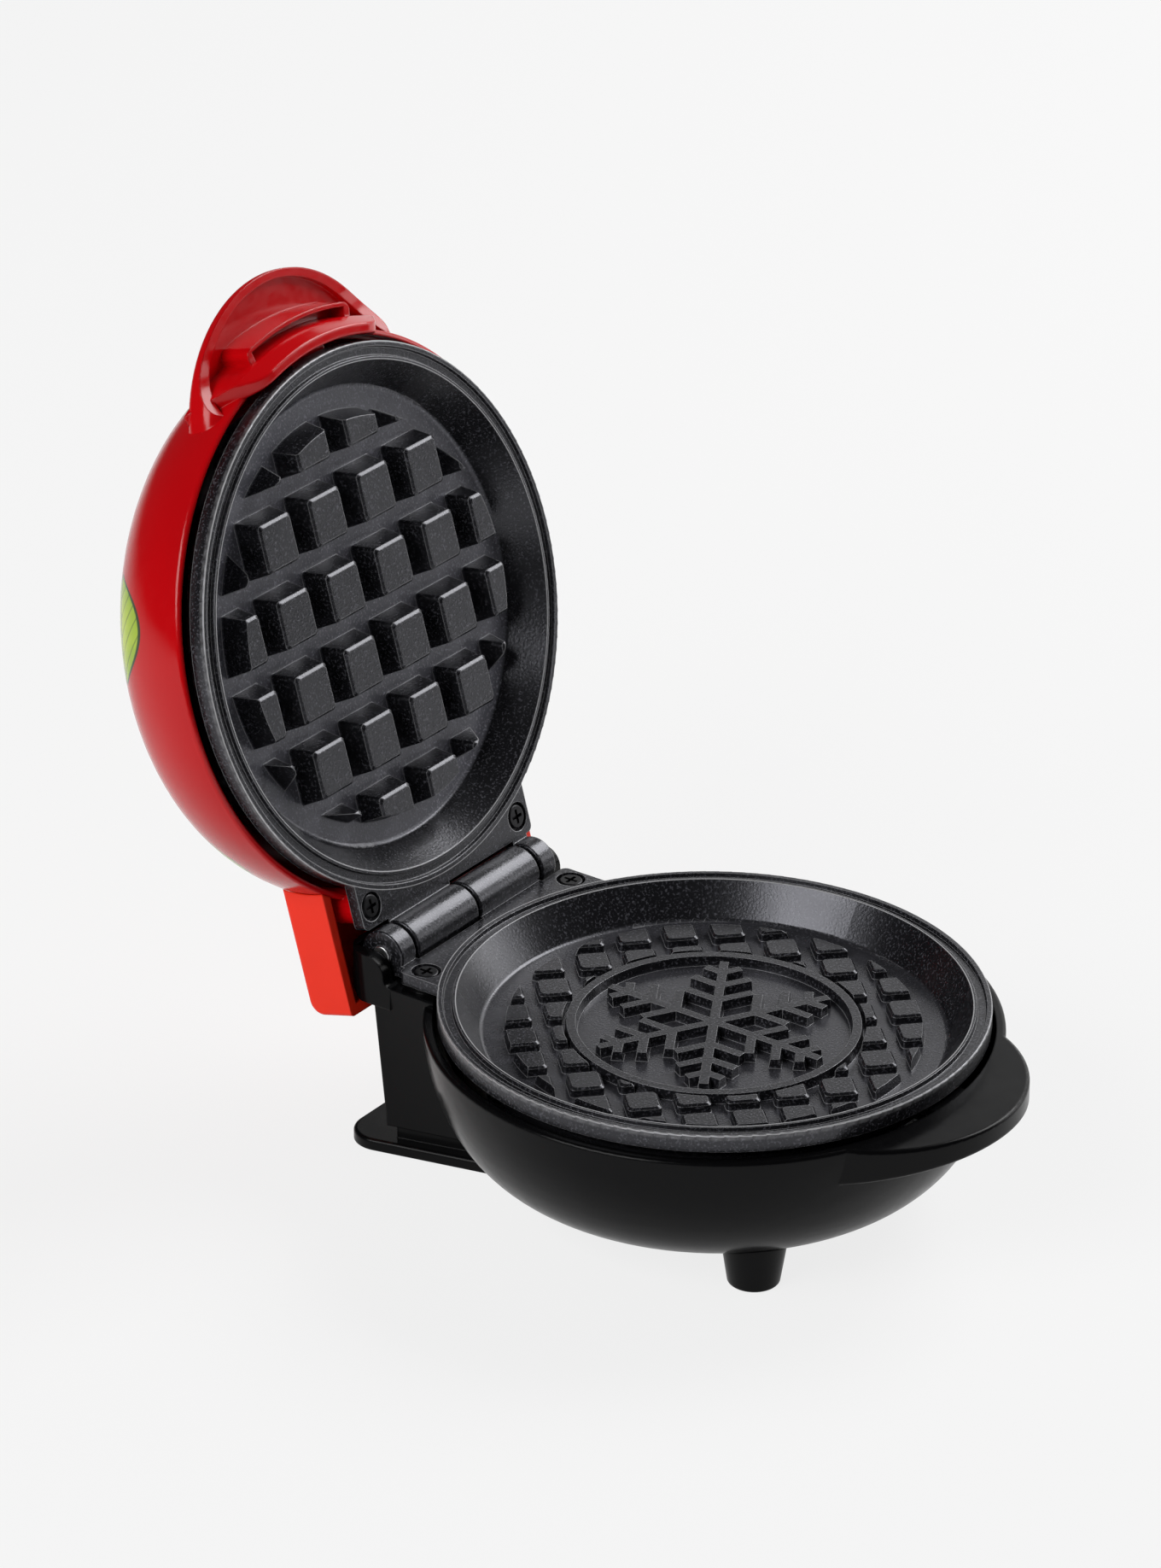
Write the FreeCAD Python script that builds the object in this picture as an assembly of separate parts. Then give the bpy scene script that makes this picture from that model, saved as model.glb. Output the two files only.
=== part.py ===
# Mini waffle maker: two non-stick plates in a black base and a domed red lid on a rear hinge.
# Lengths are in millimetres and angles in degrees.
#
# Each half is drawn in its own plate's frame: the origin is the plate's centre on its rim plane,
# +Z points out of the plate's face, the grip is at -Y and the hinge at +Y. The lid's pieces are
# drawn like the base's, then turned over and opened about the hinge pin. The finished part has
# its origin on the table straight under the hinge pin, with +Z up and the grips at -Y.
import FreeCAD, Part
import math
import os

Vector = FreeCAD.Vector
X_AXIS = Vector(1, 0, 0)
Y_AXIS = Vector(0, 1, 0)
Z_AXIS = Vector(0, 0, 1)

# Whole object
ground_clearance = 6.0        # table to the underside of the bowl
open_angle = 105.8            # lid at rest, leaning back on its stop
plate_gap = 2.5               # between the two plate rims when the lid is shut
hinge_offset = 8.5            # plate edge to the middle of the hinge pin
seat_gap = 0.05               # room left where a curved face is seated

# Plate castings
plate_radius = 61.0
plate_wall_height = 4.0       # outer wall of the rim
skirt_inset = 2.8             # step under the outer wall
rim_land = 1.2                # flat outer band of the rim
rim_groove = 2.3              # groove between the outer band and the lip
groove_depth = 0.9
lip_width = 0.7
wall_run = 5.35               # level run of the sloping inner wall
wall_thickness = 2.75
floor_depth = 8.1
floor_thickness = 3.0
floor_fillet = 1.5
rim_edge_round = 0.4

# Waffle pattern of the upper plate
deep_pitch = 17.5
deep_base = 13.4
deep_top = 9.8
deep_height = 6.2

# Waffle pattern of the lower plate, turned by 45 degrees round a snow crystal
low_pitch = 10.75
low_base = 7.6
low_top = 6.4
low_height = 2.3
block_corner = 1.0            # upright edges of the blocks
block_chamfer = 0.5           # edge round the top of the blocks
block_margin = 5.0            # floor left bare inside the wall
medallion_radius = 33.5       # round field that holds the crystal
ridge_width = 2.0
ridge_draft = 0.4
crystal_arm = 28.0

# Hinge bracket and barrels of a plate
bracket_thickness = 2.8
bracket_corner = 1.5
bracket_margin = 2.3          # bracket beyond the end of the short knuckle
barrel_radius = 5.6
barrel_clearance = 0.6        # round the other plate's barrels
barrel_edge_round = 0.5
barrel_middle_gap = 0.4       # half the gap between the two long barrels
long_barrel = 22.4
knuckle_gap = 1.0
short_knuckle = 5.2
pin_radius = 2.2
pin_clearance = 0.05
pin_overhang = 0.6

# Screws, all of one kind but for their length
screw_head_radius = 2.8
screw_head_height = 1.6
screw_radius = 1.3
screw_hole_clearance = 0.2
pilot_clearance = 0.05
recess_clearance = 0.55
recess_depth = 1.7
cross_length = 3.4
cross_width = 0.75
cross_depth = 0.9
plate_screw_inset_x = 4.0     # from the bracket's side
plate_screw_inset_y = 10.9    # from the hinge pin
plate_screw_length = 10.0

# Shells
rim_step = 5.0                # shell rim behind the plate's rim plane
shell_overhang = 3.15         # base rim outside the plate
shell_wall = 2.2
rim_round = 0.8
bowl_depth = 35.4
bowl_side_power = 0.342
bowl_floor_power = 1.18
lid_overhang = 2.6            # lid rim outside the plate
lid_rim_wall = 1.2            # the lid's wall is thinner round the plate
lid_rim_rebate = 4.0
lid_depth = 44.15
lid_side_power = 1.49
lid_crown_power = 0.67
profile_end_angle = 85.0
profile_steps = 10

# Front catch that holds a plate's tab
tab_half_width = 6.0
tab_thickness = 1.8
tab_depth = 6.8               # rim plane to the tab's near face
tab_end_gap = 0.5             # to the shell's wall
plate_air = 0.6               # between a plate's outer wall and its shell
catch_clearance = 0.2
catch_thickness = 1.5
catch_reach = 2.0

# Grip lip of the base
grip_reach = 11.4             # beyond the bowl's rim
grip_radius = 35.0
grip_thickness = 4.6          # at the tip
grip_slope = 11.5             # its underside falls towards the bowl
grip_wall = 2.2
grip_edge_round = 0.8

# Hinge tower of the base
bracket_air = 1.0             # between the tower's top and the bracket
ear_thickness = 3.1
ear_round = 4.4
ear_rise = 1.35               # ear's top above the pin
ear_lead = 3.5                # ear's front edge ahead of the pin
pin_end_gap = 0.8
trough_clearance = 0.8        # round the barrels
head_reach = 8.0              # tower head behind the pin
head_round = 6.5
head_drop = 7.0               # head's back edge below the pin
head_heel_reach = 3.0
head_heel_drop = 10.4
tower_wall = 2.4
tower_depth = 34.0            # from the pin towards the front
tower_back_inset = 0.6        # tower's back ahead of the pin
tower_lean = 1.8
tower_taper_back = 2.6
tower_taper_front = 10.1
tower_mouth = 26.0            # hollow reaches this far ahead of the pin
stop_gap = 0.3
stop_half_width = 3.0
stop_place = 18.0
stop_height = 5.5
boss_radius = 4.0
boss_length = 12.0

# Feet
foot_inset = 21.0             # bowl's rim to the middle of a foot
foot_angle = 43.1             # from the front
foot_bottom_radius = 5.75
foot_top_radius = 7.0
foot_socket_depth = 2.6
foot_post_radius = 4.5
foot_post_top = 12.0          # above the bowl's underside
foot_screw_length = 14.0
rear_foot_thickness = 2.6
rear_foot_margin = 2.2        # beyond the tower's side
rear_foot_taper = 0.25        # side lean in plan
rear_foot_reach = 8.5         # behind the pin
rear_foot_corner = 7.0
neck_inset = 1.6
rear_screw_inset = 11.0       # from the tower's side
rear_screw_place_y = 12.5     # ahead of the pin
rear_screw_length = 14.0
rear_post_height = 14.0

# Grip and hinge cover of the lid
lid_grip_reach = 16.1         # beyond the lid's rim
lid_grip_radius = 34.5
lid_grip_low = 12.1           # rim plane to the grip's lower edge at the front
lid_grip_end = 6.5            # the same where that edge meets the dome
lid_grip_sweep = 14.4         # curve by which it rises there
lid_grip_top = 15.3
lid_grip_floor = 13.7
lid_grip_round = 2.5
lid_grip_under_round = 4.0    # of the lower outer edge
lid_grip_wall = 1.9           # at the tip
lid_grip_hollow = 30.5
guard_clearance = 1.6         # plate edge to the guard
guard_width = 2.4
guard_top = 0.8
guard_slope = 1.6
guard_half_angle = 18.0       # level part of the crest
guard_end_slope = 45.0        # the crest's ends fall off at this angle
slot_width = 2.2
slot_depth = 5.0
slot_half_angle = 13.8
slot_end_angle = 1.5          # rim beyond the slot's ends
slot_rim = 1.0
slot_rim_drop = 0.9
slot_rim_corner = 2.0
guard_round = 0.6
guard_end_round = 8.0         # where the crest begins to fall off
cover_gap = 0.5               # beside the ears
cover_wall = 2.4
cover_low = 5.3
cover_height = 11.7
cover_reach = 12.2            # behind the pin
cover_round = 3.5
cover_edge_round = 1.0
lead_hole_radius = 3.5

# Heater, its clamp and the heat shield
heater_shift = 0.25           # ring outside the middle between the clamp's and the shield's bosses
heater_tube = 3.2
heater_gap_angle = 18.0       # half of the gap at the hinge side
heater_leg_radius = 2.0
heater_leg_angle = 4.5        # legs back from the ring's two ends
clamp_overlap = 5.0           # clamp's edge outside the middle of the heater's tube
clamp_hole = 14.0
clamp_thickness = 1.2
clamp_screw_ring = 20.0
clamp_screw_length = 6.0
leg_hole_clearance = 2.0
shield_margin = 1.45          # inside the plate's floor
shield_thickness = 0.6
shield_lip = 4.0
shield_drop = 15.0            # below the plate's underside
shield_screw_inset = 5.0
shield_boss_radius = 3.5
shield_screw_length = 8.0
leg_end = 5.0                 # leg below the shield

# Thermostat, fuse and wiring of the base
thermostat_radius = 8.0
thermostat_cap = 3.0
thermostat_body_radius = 7.0
spade_width = 4.8
spade_thickness = 0.8
spade_length = 5.0
spade_spacing = 7.0
clip_half_length = 24.0
clip_width = 8.0
clip_thickness = 0.8
clip_hole = 5.6
fuse_radius = 2.5
fuse_length = 26.0
fuse_share = 0.385            # of the way from the clamp's screw heads to the shield's bosses
fuse_clip_width = 10.0
fuse_clip_sheet = 0.8
fuse_clip_foot = 4.0
block_length = 30.0
block_depth = 12.0
block_cover = 2.5             # block's top above the leads
block_place = 19.5            # front face ahead of the pin
block_screw_radius = 1.6
lead_radius = 1.1
lug_width = 5.0
lug_length = 7.0
lug_thickness = 2.4

# Cord gland
gland_height = 20.0           # above the table
gland_bore = 3.1
gland_radius = 5.0
gland_flange_radius = 6.6
gland_flange = 2.0
gland_inner = 6.0
gland_neck = 4.0
gland_neck_radius = 4.6
pad_radius = 8.0
pad_rise = 1.0

# Indicator of the lid
lens_inset = 9.0              # inside the shield's ring of screws, on the grip's side
lens_radius = 3.0
lens_flange_radius = 4.6
lens_flange = 1.5
lens_boss_radius = 6.0
lens_boss_face = 34.0         # below the rim plane
lens_length = 8.6
lamp_radius = 2.4
lamp_air = 1.0                # between the lamp and the heat shield

# Places that follow from the sizes above
hinge_y = plate_radius + hinge_offset
hinge_z = plate_gap / 2
rim_height = rim_step + bowl_depth + ground_clearance
table_z = -rim_height
lip_radius = plate_radius - rim_land - rim_groove - lip_width
floor_radius = lip_radius - wall_run
plate_back = -(floor_depth + floor_thickness)
knuckle_start = barrel_middle_gap + long_barrel + knuckle_gap
knuckle_end = knuckle_start + short_knuckle
pin_half_length = knuckle_end + pin_overhang
bracket_half_width = knuckle_end + bracket_margin
bracket_edge = hinge_y - barrel_radius - barrel_clearance
plate_screw_x = bracket_half_width - plate_screw_inset_x
plate_screw_y = hinge_y - plate_screw_inset_y
bowl_radius = plate_radius + shell_overhang
lid_radius = plate_radius + lid_overhang
bowl_bottom = -(rim_step + bowl_depth)
foot_place_x = (bowl_radius - foot_inset) * math.sin(math.radians(foot_angle))
foot_place_y = (bowl_radius - foot_inset) * math.cos(math.radians(foot_angle))
shield_radius = floor_radius - shield_margin
shield_screw_ring = shield_radius - shield_screw_inset
clamp_head_edge = clamp_screw_ring + screw_head_radius
shield_boss_edge = shield_screw_ring - shield_boss_radius
fuse_place = clamp_head_edge + fuse_share * (shield_boss_edge - clamp_head_edge)
lens_place = shield_screw_ring - lens_inset
heater_ring = (clamp_screw_ring + boss_radius + shield_boss_edge) / 2 + heater_shift
clamp_radius = heater_ring + clamp_overlap
ear_inner = pin_half_length + pin_end_gap
tower_half_width = ear_inner + ear_thickness
tower_top = -(bracket_thickness + bracket_air)
tower_back = hinge_y - tower_back_inset
tower_front = hinge_y - tower_depth
cover_inner = tower_half_width + cover_gap
cover_half_width = cover_inner + cover_wall
cover_back = hinge_y + cover_reach
clamp_top = plate_back - 2 * heater_tube - 2 * seat_gap
clamp_bottom = clamp_top - clamp_thickness
shield_top = plate_back - shield_drop
shield_bottom = shield_top - shield_thickness
leg_bottom = shield_bottom - leg_end
leg_angle = math.radians(90 - heater_gap_angle - heater_leg_angle)
leg_x = heater_ring * math.cos(leg_angle)
leg_y = heater_ring * math.sin(leg_angle)
gland_z = table_z + gland_height
lead_z = leg_bottom - lug_thickness / 2
block_top = lead_z + block_cover
rear_foot_half_width = tower_half_width + rear_foot_margin
rear_screw_place_x = tower_half_width - rear_screw_inset


# Small drawing helpers

def box(x_low, x_high, y_low, y_high, z_low, z_high):
    corner = Vector(x_low, y_low, z_low)
    return Part.makeBox(x_high - x_low, y_high - y_low, z_high - z_low, corner)


def cylinder(radius, z_low, z_high, x=0, y=0):
    return Part.makeCylinder(radius, z_high - z_low, Vector(x, y, z_low))


def cross_cylinder(radius, x_low, x_high, y, z):
    return Part.makeCylinder(radius, x_high - x_low, Vector(x_low, y, z), X_AXIS)


def depth_cylinder(radius, y_low, y_high, x, z):
    return Part.makeCylinder(radius, y_high - y_low, Vector(x, y_low, z), Y_AXIS)


def joined(shapes):
    whole = shapes[0]
    for shape in shapes[1:]:
        whole = whole.fuse(shape)
    return whole


def rounded(shape, radius, chosen):
    """Fillet the edges for which chosen(edge) is true."""
    return shape.makeFillet(radius, [edge for edge in shape.Edges if chosen(edge)])


def is_circle(edge):
    return isinstance(edge.Curve, Part.Circle)


def spun(points):
    """Solid of revolution about Z from (radius, z) points."""
    corners = [Vector(radius, 0, z) for radius, z in points]
    face = Part.Face(Part.makePolygon(corners + corners[:1]))
    return face.revolve(Vector(0, 0, 0), Z_AXIS, 360)


def sector(points, half_angle):
    """Like spun, but only within half_angle of the -Y direction."""
    corners = [Vector(0, -radius, z) for radius, z in points]
    face = Part.Face(Part.makePolygon(corners + corners[:1]))
    face.rotate(Vector(0, 0, 0), Z_AXIS, -half_angle)
    return face.revolve(Vector(0, 0, 0), Z_AXIS, 2 * half_angle)


def side_prism(edges, half_width):
    """Extrude a closed outline in the YZ plane to both sides of the middle."""
    face = Part.Face(Part.Wire(edges))
    face.translate(Vector(-half_width, 0, 0))
    return face.extrude(Vector(2 * half_width, 0, 0))


def line(start, end):
    return Part.LineSegment(start, end).toShape()


def arc(start, middle, end):
    return Part.Arc(start, middle, end).toShape()


def rounded_rectangle(width, depth, corner, z):
    """Closed wire at height z, centred on the Z axis."""
    edges = []
    ends = []
    for turn, (side_x, side_y) in enumerate([(1, 1), (-1, 1), (-1, -1), (1, -1)]):
        centre = Vector(side_x * (width / 2 - corner), side_y * (depth / 2 - corner), z)
        spread = [math.radians(90 * turn + step) for step in (0, 45, 90)]
        ends.append([centre + Vector(corner * math.cos(a), corner * math.sin(a), 0) for a in spread])
    for turn in range(4):
        edges.append(arc(*ends[turn]))
        edges.append(line(ends[turn][2], ends[(turn + 1) % 4][0]))
    return Part.Wire(edges)


def rounded_slab(width, depth, corner, z_low, z_high):
    face = Part.Face(rounded_rectangle(width, depth, corner, z_low))
    return face.extrude(Vector(0, 0, z_high - z_low))


def at(shape, x, y, angle=0):
    """Turn a shape about Z and move it in plan."""
    moved = shape.copy()
    moved.rotate(Vector(0, 0, 0), Z_AXIS, angle)
    moved.translate(Vector(x, y, 0))
    return moved


def seat_base(shape):
    """From the lower plate's frame to the part's frame."""
    seated = shape.copy()
    seated.translate(Vector(0, -hinge_y, rim_height))
    return seated


def seat_lid(shape):
    """From the upper plate's frame to the part's frame, with the lid open."""
    seated = shape.copy()
    pin = Vector(0, hinge_y, hinge_z)
    seated.rotate(pin, Y_AXIS, 180)
    seated.rotate(pin, X_AXIS, -open_angle)
    return seat_base(seated)


# Screws

def screw(x, y, head_z, length, points_up=False):
    """Cross-head screw: its head's seat is at head_z and its shank runs away from the head."""
    head = cylinder(screw_head_radius, 0, screw_head_height)
    head = rounded(head, screw_head_height / 3, lambda e: is_circle(e) and e.Vertexes[0].Z > 0.1)
    for length_x, length_y in ((cross_length, cross_width), (cross_width, cross_length)):
        slot = box(-length_x / 2, length_x / 2, -length_y / 2, length_y / 2,
                   screw_head_height - cross_depth, screw_head_height)
        head = head.cut(slot)
    body = head.fuse(cylinder(screw_radius, -length, 0))
    if points_up:
        body.rotate(Vector(0, 0, 0), X_AXIS, 180)
    body.translate(Vector(x, y, head_z))
    return body


def screw_hole(x, y, z_low, z_high):
    return cylinder(screw_radius + screw_hole_clearance, z_low, z_high, x, y)


def pilot_hole(x, y, z_low, z_high):
    return cylinder(screw_radius + pilot_clearance, z_low, z_high, x, y)


def group(shapes):
    return Part.makeCompound(shapes)


# Plates

def block(base, top, height):
    """Waffle block with drafted sides, standing on the plate's floor and sunk a little into it."""
    floor_z = -floor_depth
    sink = floor_thickness / 4
    chamfer_z = height - block_chamfer
    shoulder = base + (top + 2 * block_chamfer - base) * chamfer_z / height
    sections = [
        rounded_rectangle(base, base, block_corner, floor_z - sink),
        rounded_rectangle(base, base, block_corner, floor_z),
        rounded_rectangle(shoulder, shoulder, block_corner, floor_z + chamfer_z),
        rounded_rectangle(top, top, block_corner, floor_z + height),
    ]
    return Part.makeLoft(sections, True, True)


def trimmed_blocks(places, base, top, height, angle, hole_radius):
    """Blocks at the given places, cut to the round floor and kept out of a round field."""
    sink = floor_thickness / 4
    outer = floor_radius - block_margin
    draft = (base - top) / 2
    floor_z = -floor_depth
    depth = height + sink
    field = Part.makeCone(outer, outer - draft, depth, Vector(0, 0, floor_z - sink))
    if hole_radius:
        field = field.cut(cylinder(hole_radius, floor_z - sink, floor_z + height))
    pattern = block(base, top, height)
    half_diagonal = base / math.sqrt(2)
    blocks = []
    for x, y in places:
        distance = math.hypot(x, y)
        if distance - half_diagonal >= outer or distance + half_diagonal <= hole_radius:
            continue
        piece = at(pattern, x, y, angle)
        whole = distance + half_diagonal < outer - draft and distance - half_diagonal > hole_radius
        if not whole:
            piece = piece.common(field)
        blocks.extend(piece.Solids)
    return blocks


def deep_blocks():
    count = math.ceil(floor_radius / deep_pitch)
    steps = [(index + 0.5) * deep_pitch for index in range(-count, count)]
    places = [(x, y) for x in steps for y in steps]
    return trimmed_blocks(places, deep_base, deep_top, deep_height, 0, 0)


def low_blocks():
    count = math.ceil(floor_radius / low_pitch) + 1
    slant = low_pitch / math.sqrt(2)
    steps = range(-count, count + 1)
    places = [((i - j) * slant, (i + j) * slant) for i in steps for j in steps]
    return trimmed_blocks(places, low_base, low_top, low_height, 45, medallion_radius)


def ridge(start, length, angle, from_radius, from_angle):
    """Raised bar: start is measured along the bar from its root, which lies on an arm."""
    half_top = ridge_width / 2
    half_base = half_top + ridge_draft
    low_z = -floor_depth - floor_thickness / 4
    outline = [Vector(start, -half_base, low_z), Vector(start, -half_base, -floor_depth),
               Vector(start, -half_top, low_height - floor_depth),
               Vector(start, half_top, low_height - floor_depth),
               Vector(start, half_base, -floor_depth), Vector(start, half_base, low_z)]
    bar = Part.Face(Part.makePolygon(outline + outline[:1])).extrude(Vector(length, 0, 0))
    bar.rotate(Vector(0, 0, 0), Z_AXIS, angle)
    bar.translate(Vector(from_radius, 0, 0))
    bar.rotate(Vector(0, 0, 0), Z_AXIS, from_angle)
    return bar


def snow_crystal():
    """Six branched arms and a ring round them, as raised ridges on the plate's floor."""
    ridges = []
    branches = ((0.36, 0.30), (0.60, 0.26), (0.82, 0.16))
    for arm in range(6):
        arm_angle = 60 * arm + 30
        ridges.append(ridge(0, crystal_arm, 0, 0, arm_angle))
        for place, reach in branches:
            for side in (-60, 60):
                ridges.append(ridge(0, reach * crystal_arm, side, place * crystal_arm, arm_angle))
    ring_middle = medallion_radius - ridge_width
    half_top = ridge_width / 2
    half_base = half_top + ridge_draft
    ridges.append(spun([
        (ring_middle - half_base, -floor_depth - floor_thickness / 4),
        (ring_middle + half_base, -floor_depth - floor_thickness / 4),
        (ring_middle + half_base, -floor_depth),
        (ring_middle + half_top, low_height - floor_depth),
        (ring_middle - half_top, low_height - floor_depth),
        (ring_middle - half_base, -floor_depth),
    ]))
    return ridges


def plate_dish():
    """Round dish of a plate: sloping wall, double rim and flat floor."""
    groove_out = plate_radius - rim_land
    groove_in = groove_out - rim_groove
    slope = groove_depth / 3
    dish = spun([
        (0, plate_back), (floor_radius + wall_thickness, plate_back),
        (plate_radius - skirt_inset, -plate_wall_height), (plate_radius, -plate_wall_height),
        (plate_radius, 0), (groove_out, 0), (groove_out - slope, -groove_depth),
        (groove_in + slope, -groove_depth), (groove_in, 0), (lip_radius, 0),
        (floor_radius, -floor_depth), (0, -floor_depth),
    ])

    def floor_edge(edge):
        at_floor = abs(edge.Vertexes[0].Z + floor_depth) < 0.01
        return is_circle(edge) and at_floor and abs(edge.Curve.Radius - floor_radius) < 0.01

    def rim_edge(edge):
        at_rim = abs(edge.Vertexes[0].Z) < 0.01
        return is_circle(edge) and at_rim and abs(edge.Curve.Radius - plate_radius) < 0.01

    dish = rounded(dish, floor_fillet, floor_edge)
    return rounded(dish, rim_edge_round, rim_edge)


def barrel(x_low, x_high):
    """Hinge barrel with its web to the bracket."""
    tube = cross_cylinder(barrel_radius, x_low, x_high, hinge_y, hinge_z)
    tube = rounded(tube, barrel_edge_round, is_circle)
    web = box(x_low, x_high, bracket_edge - barrel_radius / 2, hinge_y, -bracket_thickness, 0)
    bore = cross_cylinder(pin_radius + pin_clearance, x_low, x_high, hinge_y, hinge_z)
    return tube.fuse(web).cut(bore)


def hinge_bracket():
    """Flat bracket outside the rim, with one long barrel and one short knuckle."""
    depth = bracket_edge
    slab = rounded_slab(2 * bracket_half_width, depth, bracket_corner, -bracket_thickness, 0)
    slab = at(slab, 0, bracket_edge - depth / 2)
    slab = slab.cut(cylinder(plate_radius - rim_land / 2, -bracket_thickness, 0))
    slab = slab.cut(box(-bracket_half_width, bracket_half_width, -depth, 0, -bracket_thickness, 0))
    clearance = barrel_radius + barrel_clearance
    slab = slab.cut(cross_cylinder(clearance, -bracket_half_width, bracket_half_width, hinge_y, hinge_z))
    bracket = slab.fuse(barrel(barrel_middle_gap, barrel_middle_gap + long_barrel))
    bracket = bracket.fuse(barrel(-knuckle_end, -knuckle_start))
    for side in (-1, 1):
        x = side * plate_screw_x
        recess = cylinder(screw_head_radius + recess_clearance, -recess_depth, 0, x, plate_screw_y)
        bracket = bracket.cut(recess).cut(screw_hole(x, plate_screw_y, -bracket_thickness, 0))
    return bracket


def ring_places(radius, count, first_angle):
    angles = [math.radians(first_angle + 360 * index / count) for index in range(count)]
    return [(radius * math.cos(a), radius * math.sin(a)) for a in angles]


clamp_places = ring_places(clamp_screw_ring, 4, 0)
shield_places = ring_places(shield_screw_ring, 3, -90)


def plate(relief):
    """Whole casting: dish, relief, bracket, front tab and the bosses on its back."""
    tab_end = plate_radius + min(shell_overhang, lid_overhang) - shell_wall - tab_end_gap
    tab = box(-tab_half_width, tab_half_width, -tab_end, -floor_radius,
              -tab_depth - tab_thickness, -tab_depth)
    bosses = [cylinder(boss_radius, clamp_top, plate_back, x, y) for x, y in clamp_places]
    bosses += [cylinder(shield_boss_radius, shield_top, plate_back, x, y) for x, y in shield_places]
    cavity = spun([(0, -floor_depth), (floor_radius, -floor_depth), (lip_radius, 0), (0, 0)])
    casting = joined([plate_dish(), hinge_bracket(), tab.cut(cavity)] + bosses)
    pilot_depth = floor_thickness / 3
    for x, y in clamp_places:
        casting = casting.cut(pilot_hole(x, y, clamp_top, plate_back + pilot_depth))
    for x, y in shield_places:
        casting = casting.cut(pilot_hole(x, y, shield_top, plate_back + pilot_depth))
    return casting.multiFuse(relief)


def plate_screws():
    head_z = -recess_depth
    return group([screw(side * plate_screw_x, plate_screw_y, head_z, plate_screw_length)
                  for side in (-1, 1)])


# Heating parts on the back of a plate

def heater():
    """Sheathed ring element with two legs at the hinge side."""
    middle_z = plate_back - heater_tube - seat_gap
    sweep = 360 - 2 * heater_gap_angle
    end = Part.Face(Part.Wire(Part.makeCircle(heater_tube, Vector(heater_ring, 0, middle_z), Y_AXIS)))
    end.rotate(Vector(0, 0, 0), Z_AXIS, 90 + heater_gap_angle)
    ring = end.revolve(Vector(0, 0, 0), Z_AXIS, sweep)
    legs = []
    for side in (-1, 1):
        legs.append(cylinder(heater_leg_radius, leg_bottom, middle_z, side * leg_x, leg_y))
    return joined([ring] + legs)


def leg_holes(z_low, z_high):
    radius = heater_leg_radius + leg_hole_clearance
    return [cylinder(radius, z_low, z_high, side * leg_x, leg_y) for side in (-1, 1)]


def heater_clamp():
    """Pressed disc that holds the heater against the plate."""
    disc = cylinder(clamp_radius, clamp_bottom, clamp_top)
    disc = disc.cut(cylinder(clamp_hole, clamp_bottom, clamp_top))
    for hole in leg_holes(clamp_bottom, clamp_top):
        disc = disc.cut(hole)
    for x, y in clamp_places:
        disc = disc.cut(screw_hole(x, y, clamp_bottom, clamp_top))
    return disc


def clamp_screws(places, head_z):
    return group([screw(x, y, head_z, clamp_screw_length, True) for x, y in places])


def heat_shield():
    """Thin dish that keeps the heat off the shell."""
    dish = cylinder(shield_radius, shield_bottom, shield_top + shield_lip)
    dish = dish.cut(cylinder(shield_radius - shield_thickness, shield_top, shield_top + shield_lip))
    for hole in leg_holes(shield_bottom, shield_top):
        dish = dish.cut(hole)
    for x, y in shield_places:
        dish = dish.cut(screw_hole(x, y, shield_bottom, shield_top))
    return dish


def shield_screws():
    return group([screw(x, y, shield_bottom, shield_screw_length, True) for x, y in shield_places])


# Shells

def dome(radius, depth, side_power, crown_power):
    """Round solid behind the rim: r = radius cos(t)^side_power, fall = depth sin(t)^crown_power."""
    points = []
    for step in range(profile_steps + 1):
        t = math.radians(profile_end_angle * step / profile_steps)
        fall = depth * math.sin(t) ** crown_power
        points.append(Vector(radius * math.cos(t) ** side_power, 0, -rim_step - fall))
    curve = Part.BSplineCurve()
    curve.interpolate(points)
    tip = Vector(0, 0, points[-1].z)
    middle = Vector(0, 0, -rim_step)
    edges = [curve.toShape(), line(points[-1], tip), line(tip, middle), line(middle, points[0])]
    return Part.Face(Part.Wire(edges)).revolve(Vector(0, 0, 0), Z_AXIS, 360)


def outer_dome(radius, depth, side_power, crown_power):
    solid = dome(radius, depth, side_power, crown_power)

    def rim_edge(edge):
        return is_circle(edge) and abs(edge.Vertexes[0].Z + rim_step) < 0.01

    return rounded(solid, rim_round, rim_edge)


def inner_space(radius, depth, side_power, crown_power):
    """Hollow of a shell, open upwards past the rim."""
    hollow = dome(radius - shell_wall, depth - shell_wall, side_power, crown_power)
    return hollow.fuse(cylinder(radius - shell_wall, -rim_step, rim_step))


def front_catch(radius):
    """Rib inside the front of a shell, over the plate's tab."""
    low = catch_clearance - tab_depth
    face = radius - shell_wall - catch_reach
    return box(-tab_half_width, tab_half_width, -radius + shell_wall / 2, -face,
               low, low + catch_thickness)


def plate_screw_bosses(length):
    bosses = []
    for side in (-1, 1):
        x = side * plate_screw_x
        boss = cylinder(boss_radius, -bracket_thickness - length, -bracket_thickness, x, plate_screw_y)
        room = cylinder(plate_radius + plate_air, -plate_wall_height - plate_air, 0)
        bosses.append(boss.cut(room))
    return bosses


def plate_screw_pilots():
    depth = plate_screw_length + boss_radius / 2
    return [pilot_hole(side * plate_screw_x, plate_screw_y, -depth, 0) for side in (-1, 1)]


# Base shell

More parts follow.
